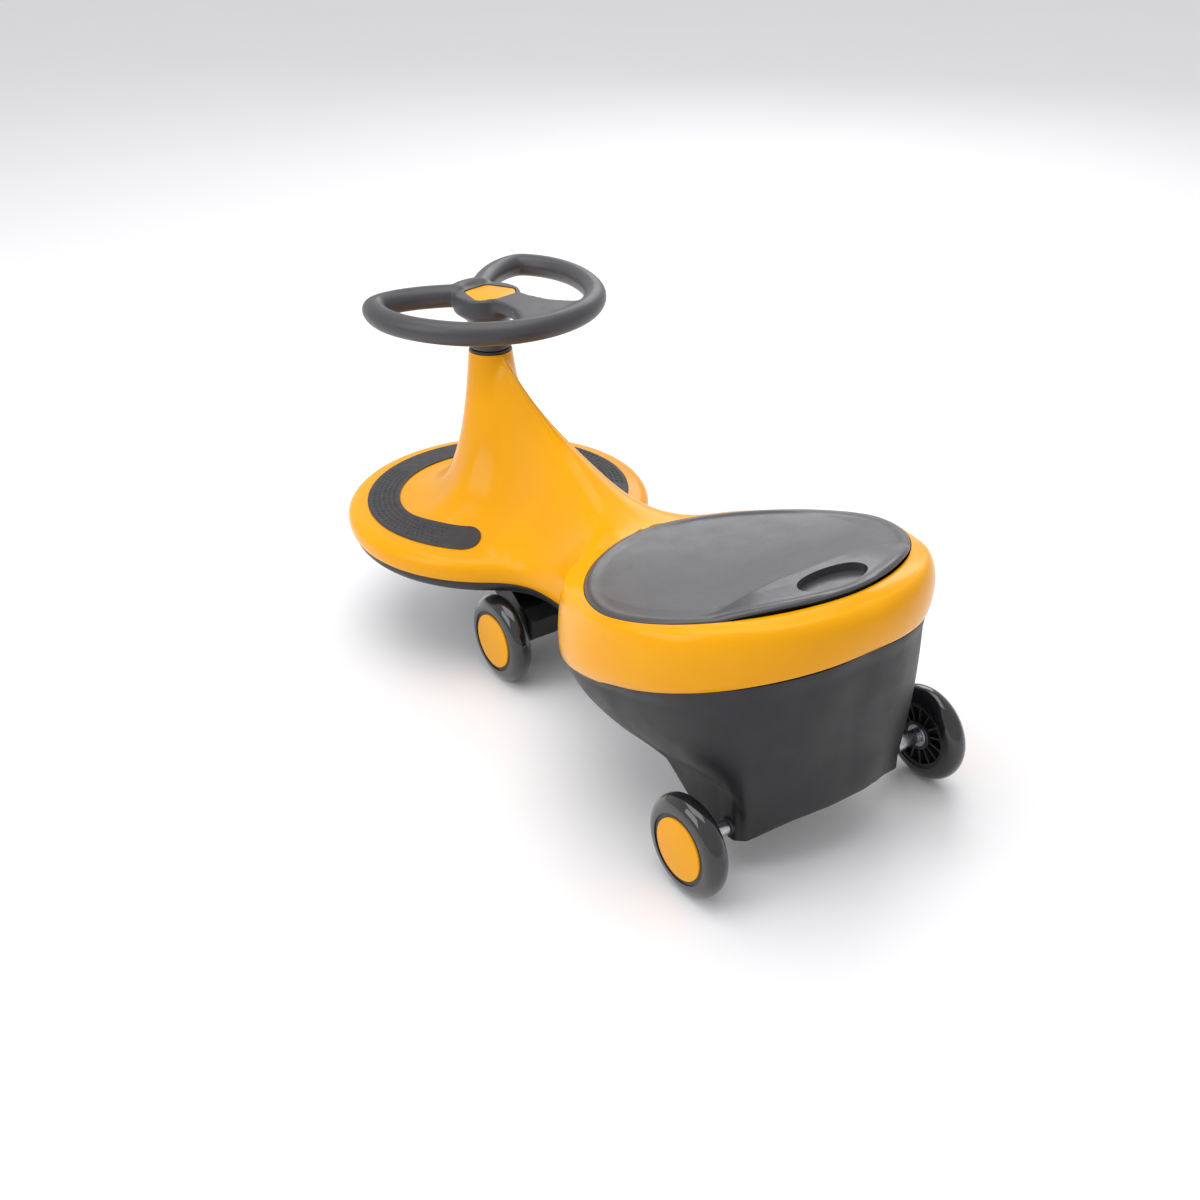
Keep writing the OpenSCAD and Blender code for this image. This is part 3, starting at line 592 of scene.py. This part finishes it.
def lowerPoint(i, w):
    floorShare = lowerShape["floorShare"]
    if w >= floorShare:
        return wallPoint(i, 1 - (w - floorShare) / (1 - floorShare))
    t = w / floorShare
    keel, low = keelPoint(i), wallPoint(i, 1)
    p = mix(keel, low, t)
    p.z = mix(keel.z, low.z, mix(t, ease((t - 0.74) / 0.16), ease((i - seatFirst) / 4)))
    return p


lowerShell = grid("lowerShell", lowerShape["columns"], lowerShape["rows"],
                  lambda u, w: bothSides(u, lambda i: lowerPoint(i, w)))
applyModifier(lowerShell, "SOLIDIFY", thickness=lowerShape["wall"], offset=-1, use_even_offset=False)
fit(lowerShell, "lower_shell", angle=50)
print("stage: lower shell")


# ---- seat ----

seatShape = {"gap": 0.6, "thickness": 8, "rise": 14, "ridgeY": seatY + 0.57 * 142, "ridgeSpan": 100,
             "dish": 6, "roll": 2.2, "columns": 240, "rows": 90,
             "recessY": seatY + 0.80 * 142, "recessHalfX": 36, "recessHalfY": 17, "recessDepth": 6.5}


def seatTop(x, y, edgeDistance):
    across = clamp(1.12 - (x / seatShape["ridgeSpan"]) ** 2)
    front = ease((y - seatShape["ridgeY"] + 9) / 15)
    back = 1 - 0.75 * clamp((y - seatShape["ridgeY"] - 6) / 48)
    lip = seatShape["rise"] * across * front * back
    dish = seatShape["dish"] * max(0, 1 - (x / 128) ** 2 - ((y - seatY + 12) / 118) ** 2)
    rim = 1.6 * exp(-((edgeDistance - 5) / 5) ** 2)
    roll = seatShape["roll"] * (1 - sqrt(1 - (1 - min(1, edgeDistance / 3)) ** 2))
    return seatZ(y) + 1.2 + lip - dish + rim - roll


def seatPoint(u, w):
    a = -90 + 360 * u
    side = 1
    if a > 90:
        a, side = 180 - a, -1
    e = seatEdge(a, seatShape["gap"])
    s = 1 - (1 - w) ** 1.6
    x, y = e.x * s, seatY + (e.y - seatY) * s
    distance = (1 - s) * Vector((e.x, e.y - seatY)).length
    return (side * x if abs(x) > 0.01 else 0, y, seatTop(x, y, distance))


seat = grid("seatPad", seatShape["columns"], seatShape["rows"], seatPoint)
applyModifier(seat, "SOLIDIFY", thickness=seatShape["thickness"], offset=-1, use_even_offset=False)
tilt = atan(bodyLines["seatSlope"] - 0.1)
recessZ = seatTop(0, seatShape["recessY"], 30)
recess = outlineBlock([(seatShape["recessHalfX"] * cos(2 * pi * k / 64),
                        seatShape["recessHalfY"] * sin(2 * pi * k / 64)) for k in range(64)],
                      -seatShape["recessDepth"], 12)
recess.data.transform(Matrix.Translation((0, seatShape["recessY"], recessZ)) @ Matrix.Rotation(tilt, 4, "X"))
cut(seat, recess)
fit(seat, "seat", angle=40)
print("stage: seat")


# ---- foot grip ----

gripShape = {"middle": 125.5, "halfWidth": 17.5, "thickness": 1.6, "columns": 660, "rows": 40,
             "pitch": 6.2, "dimple": 1.7, "depth": 1.3, "dimpleStart": -62, "dimpleEnd": 31,
             "dimpleHalfWidth": 14, "lift": 2.0, "endAngle": 48}


def dimpleDepth(p):
    r = sqrt(p.x ** 2 + (p.y - steerY) ** 2)
    a = atan2(p.y - steerY, abs(p.x))
    angle = a * 180 / pi
    across = r - gripShape["middle"]
    if not gripShape["dimpleStart"] < angle < gripShape["dimpleEnd"]:
        return 0
    rowStep = gripShape["pitch"] * sqrt(3) / 2
    row = round(across / rowStep)
    if abs(row * rowStep) > gripShape["dimpleHalfWidth"]:
        return 0
    along = a * gripShape["middle"] + (row % 2) * gripShape["pitch"] / 2
    slip = along - round(along / gripShape["pitch"]) * gripShape["pitch"]
    d = sqrt(slip ** 2 + (across - row * rowStep) ** 2)
    return gripShape["depth"] * (1 - ease((d - gripShape["dimple"] + 0.5) / 0.9))


def gripPoint(u, w):
    gripLast = ribsA - 0.9
    i = mix(-gripLast, gripLast, u)
    length = gripShape["middle"] * radians(gripShape["endAngle"] + 90)
    fromEnd = (1 - abs(i) / gripLast) * length
    half = gripShape["halfWidth"] * sqrt(max(0, 1 - max(0, 1 - fromEnd / gripShape["halfWidth"]) ** 2))
    half = max(half, 0.02)
    across = 2 * w - 1
    turn = radians(mix(-90, gripShape["endAngle"] + 2, abs(i) / gripLast))
    r = gripShape["middle"] + half * across
    p = Vector((r * cos(turn), steerY + r * sin(turn), platformTop))
    edge = min(half * (1 - abs(across)), fromEnd)
    hit = upperSurface.ray_cast(Vector((p.x if i > 0 else -p.x, p.y, 400)), Vector((0, 0, -1)))[0]
    p.z = hit.z if hit else p.z
    p.z += gripShape["lift"] - 0.9 * (1 - ease(edge / 1.6)) - dimpleDepth(p)
    return (p.x if i > 0 else -p.x, p.y, p.z)


grip = grid("footGrip", gripShape["columns"], gripShape["rows"], gripPoint)
applyModifier(grip, "SOLIDIFY", thickness=gripShape["thickness"], offset=-1, use_even_offset=False)
fit(grip, "foot_grip", angle=50)
print("stage: foot grip")


# ---- steering wheel ----

rimZ = nodeBox("steering_wheel")[1].z - 12
wheelShape = {"rimRadius": 111, "tube": 12, "notchRadius": 34, "notchStart": 61, "notchEase": 34, "lobe": 7,
              "hubRadius": 36, "hubTop": rimZ + 7, "turn": 10, "skirtZ": nodeBox("steering_wheel")[0].z,
              "skirtRadius": 22, "voxel": 1.5, "smoothing": 14, "capDrop": 6}


def rimRadiusAt(a):
    d = abs((a + 270) % 360 - 180)
    reach = wheelShape["rimRadius"] + wheelShape["lobe"] * ease(1 - abs(d - 68) / 50)
    return mix(reach, wheelShape["notchRadius"],
               ease((wheelShape["notchStart"] - d) / wheelShape["notchEase"]))


def rimCentre(a):
    r = rimRadiusAt(a)
    return Vector((r * cos(radians(a)), steerY + r * sin(radians(a)), rimZ))


def rimPoint(u, w):
    a = 360 * u
    way = (rimCentre(a + 0.5) - rimCentre(a - 0.5)).normalized()
    side = Vector((way.y, -way.x, 0))
    b = 2 * pi * w
    return rimCentre(a) + wheelShape["tube"] * (cos(b) * side + sin(b) * Vector((0, 0, 1)))


def cone(r0, r1, z0, z1):
    bpy.ops.mesh.primitive_cone_add(vertices=96, radius1=r0, radius2=r1, depth=z1 - z0,
                                    location=(0, steerY, (z0 + z1) / 2))
    piece = bpy.context.object
    bpy.ops.object.transform_apply(location=True)
    return piece


def capCorners(grow):
    corners = [(-16, -19), (16, -19), (27, 13), (14, 29), (-14, 29), (-27, 13)]
    return [(x, y + steerY) for x, y in roundedOutline([(x * (1 + grow / 25), y * (1 + grow / 25))
                                                         for x, y in corners], 8)]


def webOutline():
    rim = [(x, sqrt(wheelShape["rimRadius"] ** 2 - x * x)) for x in range(46, -47, -4)]
    return [(x, y + steerY) for x, y in [(-20, 10), (20, 10), (19, 45), (23, 68), (32, 84)] + rim
            + [(-32, 84), (-23, 68), (-19, 45)]]


hubSeat = rimZ - 16
steering = joined("steeringWheel", grid("rim", 240, 28, rimPoint),
                  cone(wheelShape["skirtRadius"], wheelShape["skirtRadius"], wheelShape["skirtZ"], hubSeat),
                  cone(wheelShape["skirtRadius"], wheelShape["hubRadius"], hubSeat - 6, hubSeat + 5),
                  cone(wheelShape["hubRadius"], wheelShape["hubRadius"] - 2, hubSeat + 5,
                       wheelShape["hubTop"]),
                  outlineBlock(webOutline(), rimZ - 4, rimZ + 9))
applyModifier(steering, "REMESH", mode="VOXEL", voxel_size=wheelShape["voxel"])
applyModifier(steering, "SMOOTH", factor=0.5, iterations=wheelShape["smoothing"])
cut(steering, cone(14, 14, hubSeat, hubSeat + 40))
cut(steering, outlineBlock(capCorners(0.6), wheelShape["hubTop"] - wheelShape["capDrop"],
                           wheelShape["hubTop"] + 20))
setRound = (Matrix.Translation((0, steerY, 0)) @ Matrix.Rotation(radians(wheelShape["turn"]), 4, "Z")
            @ Matrix.Translation((0, -steerY, 0)))
steering.data.transform(setRound)
fit(steering, "steering_wheel", angle=40)

cap = outlineBlock(capCorners(0), wheelShape["hubTop"] - wheelShape["capDrop"], wheelShape["hubTop"] - 0.6)
applyModifier(cap, "BEVEL", width=1.3, segments=4, limit_method="ANGLE", angle_limit=radians(50))
cap.data.transform(setRound)
fit(cap, "hub_cap")
print("stage: steering wheel")


# ---- road wheels ----

roadWheel = {"radius": axleZ, "halfWidth": 11.5, "coreRadius": 33, "capRadius": 29, "hubRadius": 14.5,
             "bearingRadius": 11, "bearingWidth": 7, "boreRadius": 4.05, "spokes": 15, "spokeWidth": 1.9}


def tyreSolid():
    crown = roadWheel["radius"] - roadWheel["coreRadius"]
    arcPoints = [(roadWheel["coreRadius"] + crown * cos(radians(a)) ** 0.9,
                  roadWheel["halfWidth"] * sin(radians(a))) for a in range(-90, 91, 6)]
    return revolve("tyre", 128, arcPoints)


def coreSolid():
    half, core, cap = roadWheel["halfWidth"], roadWheel["coreRadius"], roadWheel["capRadius"]
    hub, bore = roadWheel["hubRadius"], roadWheel["bearingRadius"]
    parts = [revolve("rimRing", 96, [(cap, -half + 1.6), (cap + 0.6, -half + 1), (core, -half + 1),
                                     (core, half - 1), (cap, half - 1)]),
             revolve("web", 96, [(bore, -4), (cap + 0.5, -4), (cap + 0.5, -0.5), (bore, -0.5)]),
             revolve("hub", 64, [(bore, -half), (hub - 0.8, -half), (hub, -half + 0.8), (hub, 4.5),
                                 (bore, 4.5)])]
    for k in range(roadWheel["spokes"]):
        spoke = block(hub - 1, cap + 0.8, -roadWheel["spokeWidth"] / 2, roadWheel["spokeWidth"] / 2,
                      -half + 2.2, -3)
        spoke.data.transform(Matrix.Rotation(2 * pi * k / roadWheel["spokes"], 4, "Z"))
        parts.append(spoke)
    return joined("core", *parts)


def capSolid():
    half, cap = roadWheel["halfWidth"], roadWheel["capRadius"] - 0.3
    dome = [(cap * s / 12, half + 0.5 + 1.8 * (1 - (s / 12) ** 2)) for s in range(0, 12)]
    profile = dome + [(cap - 0.25, half + 0.5), (cap, half + 0.2), (cap, half - 2.5), (cap - 2, half - 2.5),
                      (cap - 2, half - 0.6), (0, half - 0.6)]
    return revolve("cap", 96, [(max(r, 0.005), h) for r, h in profile])


def bearingSolid():
    bore, out, wide = roadWheel["boreRadius"], roadWheel["bearingRadius"], roadWheel["bearingWidth"]
    parts = []
    for top in (roadWheel["halfWidth"] - wide, -roadWheel["halfWidth"] + wide):
        low = top - wide
        parts.append(revolve("race", 64, [
            (bore, low + 0.3), (bore + 0.3, low), (6.2, low), (6.2, low + 0.5), (9.2, low + 0.5), (9.2, low),
            (out - 0.3, low), (out, low + 0.3), (out, top - 0.3), (out - 0.3, top), (9.2, top),
            (9.2, top - 0.5), (6.2, top - 0.5), (6.2, top), (bore + 0.3, top), (bore, top - 0.3)]))
    return joined("bearings", *parts)


masters = {"tyre": tyreSolid(), "core": coreSolid(), "cap": capSolid(), "bearings": bearingSolid()}
for corner in ("front_left", "front_right", "rear_left", "rear_right"):
    side = 1 if corner.endswith("left") else -1
    setting = (Matrix.Translation(joints[corner + "_spin"]) @ Matrix.Rotation(side * pi / 2, 4, "Y"))
    for kind, master in masters.items():
        piece = bpy.data.objects.new(corner + kind.title(), master.data.copy())
        bpy.context.collection.objects.link(piece)
        piece.data.transform(setting)
        fit(piece, corner + "_" + kind, angle=40)
for master in masters.values():
    bpy.data.objects.remove(master)
print("stage: road wheels")


# ---- running gear ----

softenWidths = {"bogie": 2.4, "bogie_nut": 0.7, "upper_bush": 0.6, "lower_bush": 0.6, "thrust_washer": 0.4,
                "front_axle": 0.6, "front_axle_nuts": 0.6, "front_spacers": 0.5, "rear_axle": 0.6,
                "rear_axle_nuts": 0.6, "rear_spacers": 0.5, "rear_axle_bushes": 0.5, "shell_screws": 0.4}
for nodeName, width in softenWidths.items():
    softened(nodeName, width)
print("stage: running gear")


# ---- floor, light and camera ----

studio = {"floorSize": 12, "floor": "#F4F4F6", "world": "#FFFFFF", "worldStrength": 0.72}
bpy.ops.mesh.primitive_plane_add(size=studio["floorSize"])
floor = bpy.context.object
floor.name = "studioFloor"
floorMaterial, floorTree, floorShader, floorPlace = newMaterial("paperFloor", {"IOR": 1.45})
mottle(floorTree, floorShader, floorPlace, studio["floor"], "#F2F2F5", 400, 0.5)
floorShader.inputs["Roughness"].default_value = 0.45
floor.data.materials.append(floorMaterial)
world = bpy.data.worlds.new("studioWorld")
bpy.context.scene.world = world
bpy.context.scene.view_settings.view_transform = "Standard"  # clean whites, as in a studio shot
world.use_nodes = True
world.node_tree.nodes["Background"].inputs["Color"].default_value = hexColor(studio["world"])
world.node_tree.nodes["Background"].inputs["Strength"].default_value = studio["worldStrength"]


def softBox(name, place, size, power, target=(0, 0, 0.15)):
    bpy.ops.object.light_add(type="AREA", location=place)
    lamp = bpy.context.object
    lamp.name = name
    lamp.data.shape = "RECTANGLE"
    lamp.data.size, lamp.data.size_y = size
    lamp.data.energy = power
    lamp.rotation_euler = (Vector(target) - Vector(place)).to_track_quat("-Z", "Y").to_euler()


softBox("topLight", (0.2, -0.2, 2.4), (2.2, 2.2), 34)
softBox("leftLight", (2.2, -0.3, 1.5), (1.4, 1.4), 16)
softBox("backLight", (-1.8, -1.6, 1.6), (1.4, 1.2), 14)

cameraSet = {"place": (0.7683, 1.1065, 0.856), "azimuth": 144.38, "elevation": 29.16, "roll": -0.73,
             "lens": 45.57, "shiftX": -0.0242, "shiftY": -0.0066}
a, e, roll = (radians(cameraSet[k]) for k in ("azimuth", "elevation", "roll"))
back = Vector((sin(a) * cos(e), -cos(a) * cos(e), sin(e)))
flatRight = Vector((cos(a), sin(a), 0))
flatUp = back.cross(flatRight)
right = cos(roll) * flatRight + sin(roll) * flatUp
up = cos(roll) * flatUp - sin(roll) * flatRight
bpy.ops.object.camera_add(location=cameraSet["place"])
camera = bpy.context.object
camera.rotation_mode = "QUATERNION"
camera.rotation_quaternion = Matrix((right, up, back)).transposed().to_quaternion()
camera.data.lens = cameraSet["lens"]
camera.data.shift_x, camera.data.shift_y = cameraSet["shiftX"], cameraSet["shiftY"]
bpy.context.scene.camera = camera
print("stage: studio")

clearSelection()
